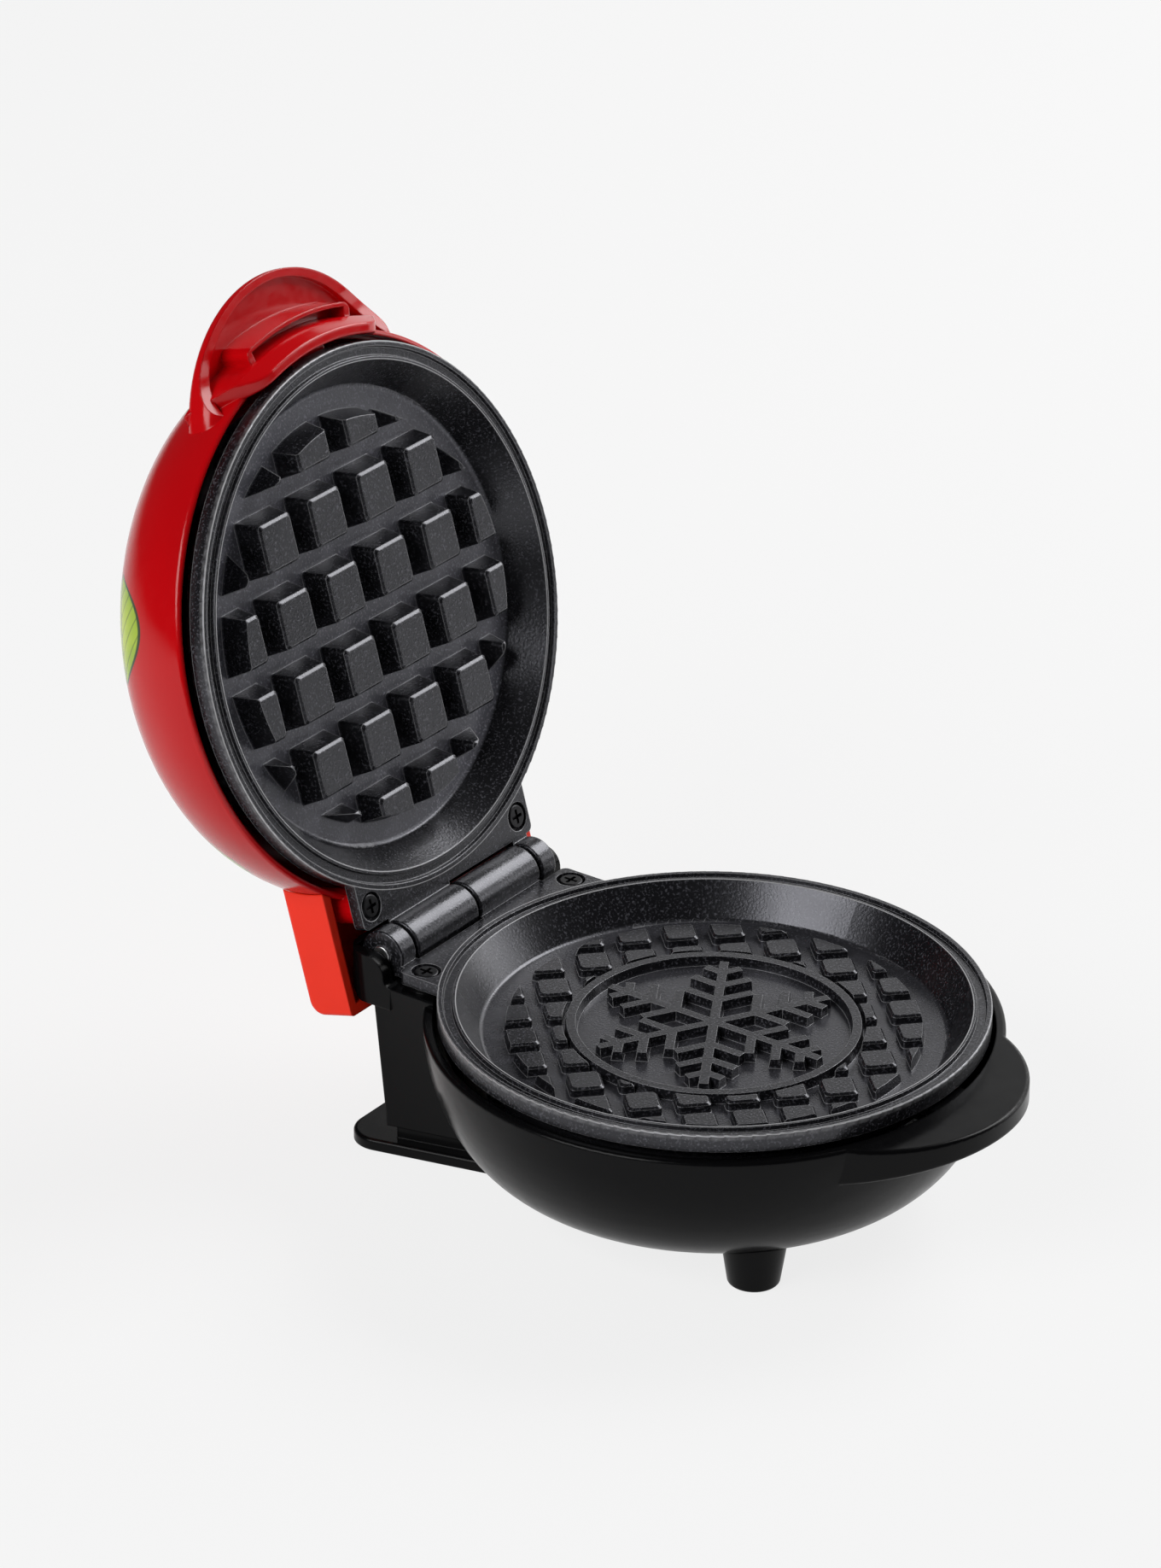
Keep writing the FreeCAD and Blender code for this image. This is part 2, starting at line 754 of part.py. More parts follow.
def base_grip(bowl):
    """Flat lip under the lid's grip, hollow from below."""
    tip = -(bowl_radius + grip_reach)
    middle = tip + grip_radius
    slope = math.tan(math.radians(grip_slope))
    near = tip - grip_wall
    far = middle + grip_radius + grip_wall
    tip_low = -rim_step - grip_thickness
    low = tip_low - slope * (far - tip)
    corners = [Vector(0, near, -rim_step), Vector(0, near, tip_low + slope * grip_wall),
               Vector(0, far, low), Vector(0, far, -rim_step)]
    edges = [line(corners[i], corners[(i + 1) % 4]) for i in range(4)]
    lip = cylinder(grip_radius, low, -rim_step, 0, middle).common(side_prism(edges, grip_radius))
    lip = rounded(lip, grip_edge_round, lambda e: is_circle(e) or isinstance(e.Curve, Part.Ellipse))
    pocket = cylinder(grip_radius - grip_wall, low, -rim_step - grip_wall, 0, middle)
    return lip.cut(pocket.cut(bowl))


def tower_section(half_front, half_back, front, back, z):
    corners = [Vector(-half_front, front, z), Vector(half_front, front, z),
               Vector(half_back, back, z), Vector(-half_back, back, z)]
    return Part.makePolygon(corners + corners[:1])


def tower_body(wall, front, top, bottom):
    """Tapered box under the hinge; wall draws every side in for the hollow."""
    share = (hinge_y - front) / tower_depth
    taper_front = tower_taper_back + (tower_taper_front - tower_taper_back) * share
    half_top = tower_half_width - wall
    sections = [
        tower_section(half_top, half_top, front, tower_back - wall, top),
        tower_section(half_top - taper_front, half_top - tower_taper_back,
                      front, tower_back - tower_lean - wall, bottom),
    ]
    return Part.makeLoft(sections, True, True)


def tower_head():
    """Head that rises beside the barrels, so that its two ears hide the pin's ends."""
    top = hinge_z + ear_rise
    front = hinge_y - ear_lead
    back = hinge_y + head_reach
    fillet = top - ear_round - tower_top
    diagonal = math.sqrt(0.5)
    start = Vector(0, front - fillet, tower_top)
    step_middle = Vector(0, front - fillet * (1 - diagonal), tower_top + fillet * (1 - diagonal))
    step_end = Vector(0, front, tower_top + fillet)
    ear_middle = Vector(0, front + ear_round * (1 - diagonal), top - ear_round * (1 - diagonal))
    ear_end = Vector(0, front + ear_round, top)
    back_top = Vector(0, back, top)
    back_low = Vector(0, back, hinge_z - head_drop)
    heel = Vector(0, hinge_y + head_heel_reach, hinge_z - head_heel_drop)
    foot = Vector(0, front - fillet, hinge_z - head_heel_drop)
    outline = [arc(start, step_middle, step_end), arc(step_end, ear_middle, ear_end),
               line(ear_end, back_top), line(back_top, back_low), line(back_low, heel),
               line(heel, foot), line(foot, start)]
    head = side_prism(outline, tower_half_width)
    length = 4 * head_round
    plan = rounded_slab(2 * tower_half_width, length, head_round, hinge_z - head_heel_drop, top)
    plan = at(plan, 0, back - length / 2)
    return head.common(plan)


def turned_about_pin(y, z, angle):
    """Where a point of the shut lid, given by its distances from the pin, goes as the lid opens."""
    turn = math.radians(angle)
    return (y * math.cos(turn) + z * math.sin(turn), z * math.cos(turn) - y * math.sin(turn))


def lid_stops():
    """Two ribs behind the tower that the hinge cover's edge leans on when the lid is open."""
    cover_edge = plate_gap + cover_low - hinge_z
    edge_y, edge_z = turned_about_pin(cover_reach, cover_edge, open_angle)
    reach = hinge_y + edge_y - stop_gap
    low = hinge_z + edge_z - stop_height / 4
    root = tower_back - tower_lean - tower_wall
    return [box(side * stop_place - stop_half_width, side * stop_place + stop_half_width,
                root, reach, low, low + stop_height) for side in (-1, 1)]


def tower_back_at(z):
    """Where the tower's leaning back face lies at height z."""
    share = (tower_top - z) / (tower_top - bowl_bottom)
    return tower_back - tower_lean * share


def base_shell():
    bowl_sizes = (bowl_radius, bowl_depth, bowl_side_power, bowl_floor_power)
    bowl = outer_dome(*bowl_sizes)
    tower = tower_body(0, tower_front, tower_top, bowl_bottom)
    pad_face = tower_back_at(gland_z) + pad_rise
    pad = depth_cylinder(pad_radius, tower_back - tower_lean - tower_wall, pad_face, 0, gland_z)
    hollow = inner_space(*bowl_sizes)
    tower_hollow = tower_body(tower_wall, hinge_y - tower_mouth, tower_top - tower_wall, bowl_bottom)
    shell = joined([bowl, tower, tower_head(), base_grip(bowl), pad] + lid_stops())
    trough = cross_cylinder(barrel_radius + trough_clearance, -ear_inner, ear_inner, hinge_y, hinge_z)
    shell = shell.cut(hollow).cut(tower_hollow).cut(trough)
    posts = []
    for side in (-1, 1):
        post = cylinder(foot_post_radius, bowl_bottom, bowl_bottom + foot_post_top,
                        side * foot_place_x, -foot_place_y)
        posts.append(post.common(bowl))
        posts.append(cylinder(boss_radius, bowl_bottom, bowl_bottom + rear_post_height,
                              side * rear_screw_place_x, hinge_y - rear_screw_place_y))
    catch = front_catch(bowl_radius)
    shell = joined([shell, catch] + posts + plate_screw_bosses(boss_length))
    cuts = plate_screw_pilots()
    for side in (-1, 1):
        cuts.append(pilot_hole(side * foot_place_x, -foot_place_y, bowl_bottom - rim_step,
                               table_z + foot_socket_depth + foot_screw_length + pin_overhang))
        cuts.append(pilot_hole(side * rear_screw_place_x, hinge_y - rear_screw_place_y,
                               bowl_bottom, table_z + recess_depth + rear_screw_length + pin_overhang))
    cuts.append(depth_cylinder(gland_radius + seat_gap, tower_front, pad_face, 0, gland_z))
    for piece in cuts:
        shell = shell.cut(piece)
    return shell


# Feet

def front_foot(side, bowl):
    """Tapered stub that follows the bowl's underside."""
    height = ground_clearance + bowl_depth / 4
    x = side * foot_place_x
    y = -foot_place_y
    slope = (foot_top_radius - foot_bottom_radius) / (ground_clearance + shell_wall)
    stub = Part.makeCone(foot_bottom_radius, foot_bottom_radius + slope * height, height,
                         Vector(x, y, table_z))
    stub = rounded(stub, rim_round, lambda e: is_circle(e) and abs(e.Vertexes[0].Z - table_z) < 0.01)
    stub = stub.cut(bowl)
    socket = cylinder(screw_head_radius + recess_clearance, table_z, table_z + foot_socket_depth, x, y)
    return stub.cut(socket).cut(screw_hole(x, y, table_z, table_z + height)).Solids[0]


def foot_screws():
    return group([screw(side * foot_place_x, -foot_place_y, table_z + foot_socket_depth,
                        foot_screw_length, True) for side in (-1, 1)])


def rear_foot():
    """Foot plate under the tower, on a neck that closes the tower's open bottom."""
    back = hinge_y + rear_foot_reach
    front = tower_front
    half_front = rear_foot_half_width - rear_foot_taper * (back - front)
    corners = [Vector(-half_front, front, table_z), Vector(half_front, front, table_z),
               Vector(rear_foot_half_width, back, table_z), Vector(-rear_foot_half_width, back, table_z)]
    sole = Part.Face(Part.makePolygon(corners + corners[:1]))
    sole = sole.extrude(Vector(0, 0, rear_foot_thickness))

    def back_corner(edge):
        upright = abs(edge.Vertexes[0].Z - edge.Vertexes[-1].Z) > rear_foot_thickness / 2
        return upright and edge.Vertexes[0].Y > hinge_y

    def top_edge(edge):
        top = table_z + rear_foot_thickness
        return all(abs(vertex.Z - top) < 0.01 for vertex in edge.Vertexes)

    sole = rounded(sole, rear_foot_corner, back_corner)
    sole = rounded(sole, rim_round, top_edge)
    lean_back = tower_back - tower_lean - neck_inset
    half_back = tower_half_width - tower_taper_back - neck_inset
    half_neck = tower_half_width - tower_taper_front - neck_inset
    neck = Part.Face(tower_section(half_neck, half_back, front + neck_inset, lean_back, table_z))
    neck = neck.extrude(Vector(0, 0, ground_clearance))
    foot = sole.fuse(neck)
    for side in (-1, 1):
        x = side * rear_screw_place_x
        y = hinge_y - rear_screw_place_y
        recess = cylinder(screw_head_radius + recess_clearance, table_z, table_z + recess_depth, x, y)
        foot = foot.cut(recess).cut(screw_hole(x, y, table_z, bowl_bottom))
    return foot


def rear_foot_screws():
    return group([screw(side * rear_screw_place_x, hinge_y - rear_screw_place_y,
                        table_z + recess_depth, rear_screw_length, True) for side in (-1, 1)])


# Control and wiring in the base

def thermostat():
    """Disc thermostat against the plate's back, with two spade terminals."""
    cap = cylinder(thermostat_radius, plate_back - thermostat_cap, plate_back)
    body = cylinder(thermostat_body_radius, clamp_bottom, plate_back - thermostat_cap)
    spades = []
    for side in (-1, 1):
        x = side * spade_spacing / 2
        spades.append(box(x - spade_thickness / 2, x + spade_thickness / 2, -spade_width / 2,
                          spade_width / 2, clamp_bottom - spade_length, clamp_bottom))
    return joined([cap, body] + spades)


def thermostat_clip():
    """Spring strip that presses the thermostat against the plate."""
    low = clamp_bottom - clip_thickness
    strip = rounded_slab(2 * clip_half_length, clip_width, clip_width / 3, low, clamp_bottom)
    strip = strip.cut(cylinder(clip_hole, low, clamp_bottom))
    arch = thermostat_body_radius - clip_hole
    bridge = cylinder(thermostat_body_radius + arch, low, clamp_bottom)
    strip = strip.fuse(bridge.cut(cylinder(clip_hole, low, clamp_bottom)))
    for side in (-1, 1):
        strip = strip.cut(screw_hole(side * clamp_screw_ring, 0, low, clamp_bottom))
    return strip


def thermal_fuse():
    middle_z = shield_top + fuse_radius + seat_gap
    return cross_cylinder(fuse_radius, -fuse_length / 2, fuse_length / 2, -fuse_place, middle_z)


def fuse_clip():
    """Saddle over the fuse, with two feet on the heat shield."""
    half = fuse_clip_width / 2
    middle_z = shield_top + fuse_radius + seat_gap
    inner = fuse_radius + seat_gap
    outer = inner + fuse_clip_sheet
    arch = cross_cylinder(outer, -half, half, -fuse_place, middle_z)
    sides = box(-half, half, -fuse_place - outer, -fuse_place + outer, shield_top, middle_z)
    reach = outer + fuse_clip_foot
    feet = box(-half, half, -fuse_place - reach, -fuse_place + reach, shield_top,
               shield_top + fuse_clip_sheet)
    saddle = joined([arch, sides, feet])
    saddle = saddle.cut(cross_cylinder(inner, -half, half, -fuse_place, middle_z))
    opening = box(-half, half, -fuse_place - inner, -fuse_place + inner, shield_top - outer, middle_z)
    return saddle.cut(opening)


def terminal_block():
    """Screw terminals on the rear foot's neck."""
    front = hinge_y - block_place
    body = box(-block_length / 2, block_length / 2, front, front + block_depth, bowl_bottom, block_top)
    for side in (-1, 1):
        body = body.cut(cylinder(block_screw_radius, lead_z, block_top, side * leg_x,
                                 front + block_depth / 2))
    return body


def lead(side):
    """Wire from a heater leg to the terminal block, with its lug under the leg."""
    x = side * leg_x
    low = leg_bottom - lug_thickness
    lug = box(x - lug_width / 2, x + lug_width / 2, leg_y - lug_length / 2, leg_y + lug_length / 2,
              low, leg_bottom)
    wire = depth_cylinder(lead_radius, leg_y, hinge_y - block_place, x, lead_z)
    return lug.fuse(wire)


def cord_gland():
    """Bush in the tower's back that a round supply cord would pass through."""
    pad_face = tower_back_at(gland_z) + pad_rise
    flange_end = pad_face + gland_flange
    pieces = [
        depth_cylinder(gland_radius, pad_face - gland_inner, pad_face, 0, gland_z),
        depth_cylinder(gland_flange_radius, pad_face, flange_end, 0, gland_z),
        depth_cylinder(gland_neck_radius, flange_end, flange_end + gland_neck, 0, gland_z),
    ]
    bore = depth_cylinder(gland_bore, pad_face - gland_inner, flange_end + gland_neck, 0, gland_z)
    return joined(pieces).cut(bore)


def hinge_pin():
    pin = cross_cylinder(pin_radius, -pin_half_length, pin_half_length, hinge_y, hinge_z)
    return rounded(pin, pin_overhang / 2, is_circle)


# Lid shell

def lid_grip():
    """Half-round grip at the front of the lid: a thin wall round a hollow that faces the base."""
    tip = -(lid_radius + lid_grip_reach)
    middle = tip + lid_grip_radius
    hollow_middle = tip + lid_grip_wall + lid_grip_hollow
    disc = cylinder(lid_grip_radius, -lid_grip_top, -lid_grip_end, 0, middle)
    disc = rounded(disc, lid_grip_round, lambda e: is_circle(e) and e.Vertexes[0].Z < -lid_grip_floor)
    disc = rounded(disc, lid_grip_under_round,
                   lambda e: is_circle(e) and e.Vertexes[0].Z > -lid_grip_end - 0.01)
    hollow = cylinder(lid_grip_hollow, -lid_grip_floor, -lid_grip_end, 0, hollow_middle)
    meet = (lid_radius ** 2 - lid_grip_hollow ** 2 + hollow_middle ** 2) / (2 * hollow_middle)
    turn = math.acos(1 - (lid_grip_low - lid_grip_end) / lid_grip_sweep)
    start = meet - lid_grip_sweep * math.sin(turn)

    def swept(share):
        return Vector(0, start + lid_grip_sweep * math.sin(turn * share),
                      -lid_grip_low + lid_grip_sweep * (1 - math.cos(turn * share)))

    near_low = Vector(0, tip - rim_step, -lid_grip_low)
    near_high = Vector(0, tip - rim_step, 0)
    far_high = Vector(0, meet, 0)
    outline = [line(near_low, swept(0)), arc(swept(0), swept(0.5), swept(1)), line(swept(1), far_high),
               line(far_high, near_high), line(near_high, near_low)]
    return disc.cut(hollow).cut(side_prism(outline, lid_grip_radius))


def guard_end(crest):
    """Wedge that takes the crest's end off at a slope, at the right-hand end."""
    reach = plate_radius
    wedge = box(0, reach, -reach, reach, -2 * reach, 2 * reach)
    wedge.rotate(Vector(0, 0, 0), Y_AXIS, -guard_end_slope)
    wedge.translate(Vector(0, -crest, -guard_top))
    wedge.rotate(Vector(0, 0, 0), Z_AXIS, guard_half_angle)
    return wedge


def front_guard():
    """Raised crest between the grip and the plate, with a slotted block behind it."""
    inner = plate_radius + guard_clearance
    crest = inner + guard_width
    slot_in = crest + guard_slope
    slot_out = slot_in + slot_width
    outer = slot_out + slot_rim
    low = -lid_grip_top + rim_round
    block_face = -rim_step - slot_rim_drop
    end = guard_end(crest)
    ridge_top = sector([(inner, low), (inner, -guard_top), (crest, -guard_top), (slot_in, -rim_step),
                        (slot_in, low)], 2 * guard_half_angle)
    ridge_top = ridge_top.cut(end).cut(end.mirror(Vector(0, 0, 0), X_AXIS))

    def on_crest(edge):
        return edge.BoundBox.ZMin > -guard_top - 0.01

    ridge_top = rounded(ridge_top, guard_end_round, lambda e: on_crest(e) and not is_circle(e))
    ridge_top = rounded(ridge_top, guard_round, lambda e: on_crest(e) and is_circle(e))
    holder = sector([(crest, low), (crest, block_face), (outer, block_face), (outer, low)],
                    slot_half_angle + slot_end_angle)

    def outer_corner(edge):
        first = edge.Vertexes[0].Point
        last = edge.Vertexes[-1].Point
        return abs(first.z - last.z) > slot_width and math.hypot(first.x, first.y) > outer - 0.01

    holder = rounded(holder, slot_rim_corner, outer_corner)
    slot = sector([(slot_in, -rim_step - slot_depth), (slot_in, 0), (slot_out, 0),
                   (slot_out, -rim_step - slot_depth)], slot_half_angle)
    return ridge_top.fuse(holder).cut(slot)


def cover_box(inset):
    """Box behind the dome round the hinge; inset draws it in for the hollow."""
    half = cover_half_width - inset
    back = cover_back - inset
    top = -cover_low - cover_height + inset
    radius = cover_round - inset
    bend = radius * (1 - math.sqrt(0.5))
    front = hinge_y / 2
    outline = [line(Vector(0, front, -cover_low), Vector(0, back, -cover_low)),
               line(Vector(0, back, -cover_low), Vector(0, back, top + radius)),
               arc(Vector(0, back, top + radius), Vector(0, back - bend, top + bend),
                   Vector(0, back - radius, top)),
               line(Vector(0, back - radius, top), Vector(0, front, top)),
               line(Vector(0, front, top), Vector(0, front, -cover_low))]
    return side_prism(outline, half)


def hinge_cover():
    """Cap behind the dome that hides the hinge, seated on the dome and on two of its bosses."""
    def side_edge(edge):
        flat = abs(edge.Vertexes[0].X - edge.Vertexes[-1].X) < 0.01
        behind = edge.BoundBox.YMax > hinge_y / 2 + rim_step
        return flat and behind and edge.BoundBox.ZMin < -cover_low - 0.01

    cap = rounded(cover_box(0), cover_edge_round, side_edge).cut(cover_box(cover_wall))
    return cap.cut(dome(lid_radius + seat_gap, lid_depth + seat_gap, lid_side_power, lid_crown_power))


def lens_boss(outside):
    boss = cylinder(lens_boss_radius, -lid_depth - rim_step, -lens_boss_face, 0, -lens_place)
    return boss.common(outside)


def lid_shell():
    lid_sizes = (lid_radius, lid_depth, lid_side_power, lid_crown_power)
    outside = outer_dome(*lid_sizes)
    rebate = cylinder(lid_radius - lid_rim_wall, -rim_step - lid_rim_rebate, rim_step)
    shell = joined([outside, lid_grip()]).cut(inner_space(*lid_sizes)).cut(rebate)
    boss_depth = cover_low + cover_height - bracket_thickness - cover_wall
    ribs = [front_catch(lid_radius), lens_boss(outside), front_guard()]
    shell = joined([shell] + ribs + plate_screw_bosses(boss_depth))
    for pilot in plate_screw_pilots():
        shell = shell.cut(pilot)
    lens_hole = cylinder(lens_radius + seat_gap, -lid_depth - rim_step, -lens_boss_face, 0, -lens_place)
    lead_hole = depth_cylinder(lead_hole_radius, floor_radius, hinge_y, 0,
                               -cover_low - cover_height / 2)
    return shell.cut(lens_hole).cut(lead_hole)


def indicator_lens():
    """Round window seated on its boss from inside, with a domed outer end."""
    face = -lens_boss_face
    flange = cylinder(lens_flange_radius, face, face + lens_flange, 0, -lens_place)
    shaft = cylinder(lens_radius, face - lens_length, face, 0, -lens_place)
    shaft = rounded(shaft, lens_radius / 3, lambda e: is_circle(e) and e.Vertexes[0].Z < face - 0.01)
    return flange.fuse(shaft)


def indicator_lamp():
    low = -lens_boss_face + lens_flange
    lamp = cylinder(lamp_radius, low, shield_bottom - lamp_air, 0, -lens_place)
    return rounded(lamp, lamp_radius / 3, lambda e: is_circle(e) and e.Vertexes[0].Z < low + 0.01)


# Everything, in the part's frame

bowl_outside = outer_dome(bowl_radius, bowl_depth, bowl_side_power, bowl_floor_power)
side_places = [place for place in clamp_places if abs(place[0]) > abs(place[1])]
end_places = [place for place in clamp_places if abs(place[0]) < abs(place[1])]

base_pieces = {
    "base_shell": base_shell(),
    "left_foot": front_foot(-1, bowl_outside),
    "right_foot": front_foot(1, bowl_outside),
    "foot_screws": foot_screws(),
    "rear_foot": rear_foot(),
    "rear_foot_screws": rear_foot_screws(),
    "lower_plate": plate(low_blocks() + snow_crystal()),
    "lower_plate_screws": plate_screws(),
    "lower_heater": heater(),
    "lower_heater_clamp": heater_clamp(),
    "lower_clamp_screws": clamp_screws(end_places, clamp_bottom),
    "lower_heat_shield": heat_shield(),
    "lower_shield_screws": shield_screws(),
    "thermostat": thermostat(),
    "thermostat_clip": thermostat_clip(),
    "thermostat_clip_screws": clamp_screws(side_places, clamp_bottom - clip_thickness),
    "thermal_fuse": thermal_fuse(),
    "fuse_clip": fuse_clip(),
    "terminal_block": terminal_block(),
    "live_lead": lead(-1),
    "neutral_lead": lead(1),
    "cord_gland": cord_gland(),
    "hinge_pin": hinge_pin(),
}

lid_pieces = {
    "lid_shell": lid_shell(),
    "hinge_cover": hinge_cover(),
    "upper_plate": plate(deep_blocks()),
    "upper_plate_screws": plate_screws(),
    "upper_heater": heater(),
    "upper_heater_clamp": heater_clamp(),
    "upper_clamp_screws": clamp_screws(clamp_places, clamp_bottom),
    "upper_heat_shield": heat_shield(),
    "upper_shield_screws": shield_screws(),
    "indicator_lens": indicator_lens(),
    "indicator_lamp": indicator_lamp(),
}

os.makedirs("parts", exist_ok=True)
for name, shape in base_pieces.items():
    seat_base(shape).exportStep("parts/" + name + ".step")
for name, shape in lid_pieces.items():
    seat_lid(shape).exportStep("parts/" + name + ".step")
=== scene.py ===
# %% [markdown]
# # A small round waffle maker
# The solids of this waffle maker come from its CAD source, already in place and in metres.
# This lesson dresses them: it sets up a camera, a table and soft light, then gives every piece
# a material built from nodes, so that the coated plates, the red lid and the black base look
# like what they are. The origin is on the table under the hinge pin, and the grips are at -Y.

# %% Load the solids
import math

import bmesh
import bpy
from mathutils import Matrix, Vector

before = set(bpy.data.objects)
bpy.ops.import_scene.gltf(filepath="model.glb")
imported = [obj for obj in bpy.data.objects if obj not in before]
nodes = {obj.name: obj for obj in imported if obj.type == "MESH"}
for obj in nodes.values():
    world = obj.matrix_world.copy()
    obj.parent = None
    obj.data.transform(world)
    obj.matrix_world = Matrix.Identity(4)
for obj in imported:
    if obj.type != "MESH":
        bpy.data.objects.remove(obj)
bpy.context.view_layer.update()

# %% [markdown]
# ## Camera
# A product photo is taken from some way off with a long lens, so the circles of the two plates
# stay nearly true ellipses. The camera could be turned by hand until they match. Here its place
# is written down as two angles and a small roll, and the three directions of its own axes are
# worked out from those, because numbers are easier to correct than a turned view.

# %% Camera at the photo's angle
CAMERA_PLACE = Vector((-1.03486, -0.77304, 0.72464))
CAMERA_AZIMUTH = math.radians(-54.43)
CAMERA_ELEVATION = math.radians(26.58)
CAMERA_ROLL = math.radians(0.36)
CAMERA_LENS_MM = 148.85
SENSOR_MM = 36.0

back = Vector((math.sin(CAMERA_AZIMUTH) * math.cos(CAMERA_ELEVATION),
               -math.cos(CAMERA_AZIMUTH) * math.cos(CAMERA_ELEVATION),
               math.sin(CAMERA_ELEVATION)))
level_right = Vector((math.cos(CAMERA_AZIMUTH), math.sin(CAMERA_AZIMUTH), 0))
level_up = back.cross(level_right)
right = level_right * math.cos(CAMERA_ROLL) + level_up * math.sin(CAMERA_ROLL)
up = back.cross(right)

camera_data = bpy.data.cameras.new("camera")
camera_data.lens = CAMERA_LENS_MM
camera_data.sensor_fit = "VERTICAL"
camera_data.sensor_height = SENSOR_MM
camera_data.clip_start = 0.01
camera = bpy.data.objects.new("camera", camera_data)
turn = Matrix((right, up, back)).transposed().to_4x4()
camera.matrix_world = Matrix.Translation(CAMERA_PLACE) @ turn
bpy.context.scene.collection.objects.link(camera)
bpy.context.scene.camera = camera
print("camera looks along", tuple(round(v, 3) for v in -back))

# %% [markdown]
# ## Node helpers
# Every finish here starts from the Principled shader. The first helper makes a material and
# sets plain numbers on the shader's own sockets. The others each add one kind of node: a noise
# in the solid's own coordinates, a range, a blend of two colours, a soft edge and a relief. The
# coordinates are metres, so a noise of scale 1000 has grains of about a millimetre, and the
# grain moves with the piece when the lid swings.

# %% Helpers for materials
def new_finish(name, colour, roughness, **sockets):
    finish = bpy.data.materials.new(name)
    finish.use_nodes = True
    shader = finish.node_tree.nodes["Principled BSDF"]
    shader.inputs["Base Color"].default_value = (*colour, 1)
    shader.inputs["Roughness"].default_value = roughness
    for socket, value in sockets.items():
        shader.inputs[socket.replace("_", " ")].default_value = value
    return finish, shader


def own_place(finish):
    return finish.node_tree.nodes.new("ShaderNodeTexCoord").outputs["Object"]


def grain(finish, scale, detail=2.0):
    noise = finish.node_tree.nodes.new("ShaderNodeTexNoise")
    noise.inputs["Scale"].default_value = scale
    noise.inputs["Detail"].default_value = detail
    finish.node_tree.links.new(own_place(finish), noise.inputs["Vector"])
    return noise.outputs["Fac"]


def stretch(finish, source, low, high, to_low, to_high):
    span = finish.node_tree.nodes.new("ShaderNodeMapRange")
    span.inputs["From Min"].default_value = low
    span.inputs["From Max"].default_value = high
    span.inputs["To Min"].default_value = to_low
    span.inputs["To Max"].default_value = to_high
    finish.node_tree.links.new(source, span.inputs["Value"])
    return span.outputs["Result"]


def tint(finish, share, dark, light):
    """Blend of two colours; each may be a plain colour or the output of another node."""
    blend = finish.node_tree.nodes.new("ShaderNodeMix")
    blend.data_type = "RGBA"
    for socket, colour in ((blend.inputs[6], dark), (blend.inputs[7], light)):
        if isinstance(colour, tuple):
            socket.default_value = (*colour, 1)
        else:
            finish.node_tree.links.new(colour, socket)
    finish.node_tree.links.new(share, blend.inputs[0])
    return blend.outputs[2]


def soft_edges(finish, radius):
    """Normal that rounds every sharp edge a little in the shading."""
    edge = finish.node_tree.nodes.new("ShaderNodeBevel")
    edge.samples = 6
    edge.inputs["Radius"].default_value = radius
    return edge.outputs["Normal"]


def relief(finish, source, depth, strength, normal):
    node = finish.node_tree.nodes.new("ShaderNodeBump")
    node.inputs["Distance"].default_value = depth
    node.inputs["Strength"].default_value = strength
    finish.node_tree.links.new(source, node.inputs["Height"])
    finish.node_tree.links.new(normal, node.inputs["Normal"])
    return node.outputs["Normal"]


def wear(names, finish):
    for name in names:
        piece = nodes[name]
        piece.data.materials.clear()
        piece.data.materials.append(finish)
    print(finish.name, "on", ", ".join(names))


# %% [markdown]
# ## Coated plates
# Both plates are cast aluminium under a sprayed non-stick coat. The coat is charcoal with tiny
# pale flecks, and the spray leaves a fine pebbled skin that breaks the light into a soft sheen.
# The floor of a plate is painted a greyer tone, a painted sheen standing in for the light it
# catches, and the edges are painted pale, a painted highlight standing in for their glints. A
# picture of a real coat could be wrapped on, but noises and measurements do it without one. The
# first two are how far a point lies from the floor, and how far the rounded normal of an edge turns
# away from the flat face beside it.

# %% Measurements for the coat
def vector_sums(finish, operation, first, second):
    node = finish.node_tree.nodes.new("ShaderNodeVectorMath")
    node.operation = operation
    for socket, value in zip(node.inputs, (first, second)):
        if isinstance(value, tuple):
            socket.default_value = value
        else:
            finish.node_tree.links.new(value, socket)
    return node.outputs["Value" if operation == "DOT_PRODUCT" else "Vector"]


def sums(finish, operation, *values):
    node = finish.node_tree.nodes.new("ShaderNodeMath")
    node.operation = operation
    for socket, value in zip(node.inputs, values):
        if isinstance(value, (int, float)):
            socket.default_value = value
        else:
            finish.node_tree.links.new(value, socket)
    return node.outputs[0]


FACE_MATCH = 0.98    # rounded and flat normals agree this well on a face
EDGE_MATCH = 0.88    # and only this well on an edge


def edge_share(finish, rounded_normal):
    """0 on a flat face, rising to 1 on an edge."""
    flat = finish.node_tree.nodes.new("ShaderNodeNewGeometry").outputs["True Normal"]
    match = vector_sums(finish, "DOT_PRODUCT", rounded_normal, flat)
    return stretch(finish, match, FACE_MATCH, EDGE_MATCH, 0.0, 1.0)


# %% [markdown]
# The rim of a plate is a set of rings: an outer band, a groove and a narrow lip. Their edges are
# rounded in the metal already, so the rounded normal doesn't find them. They are found by their
# distance from the plate's axis, and a pale colour is painted on them, a painted highlight that
# stands in for the glints of their rounded edges.

# %% Edges of the rim
RIM_LINES = ((0.05688, 0.00017), (0.06085, 0.00016))    # radius and half width
IN_GROOVE = -0.0014
ON_LIP = -0.0009


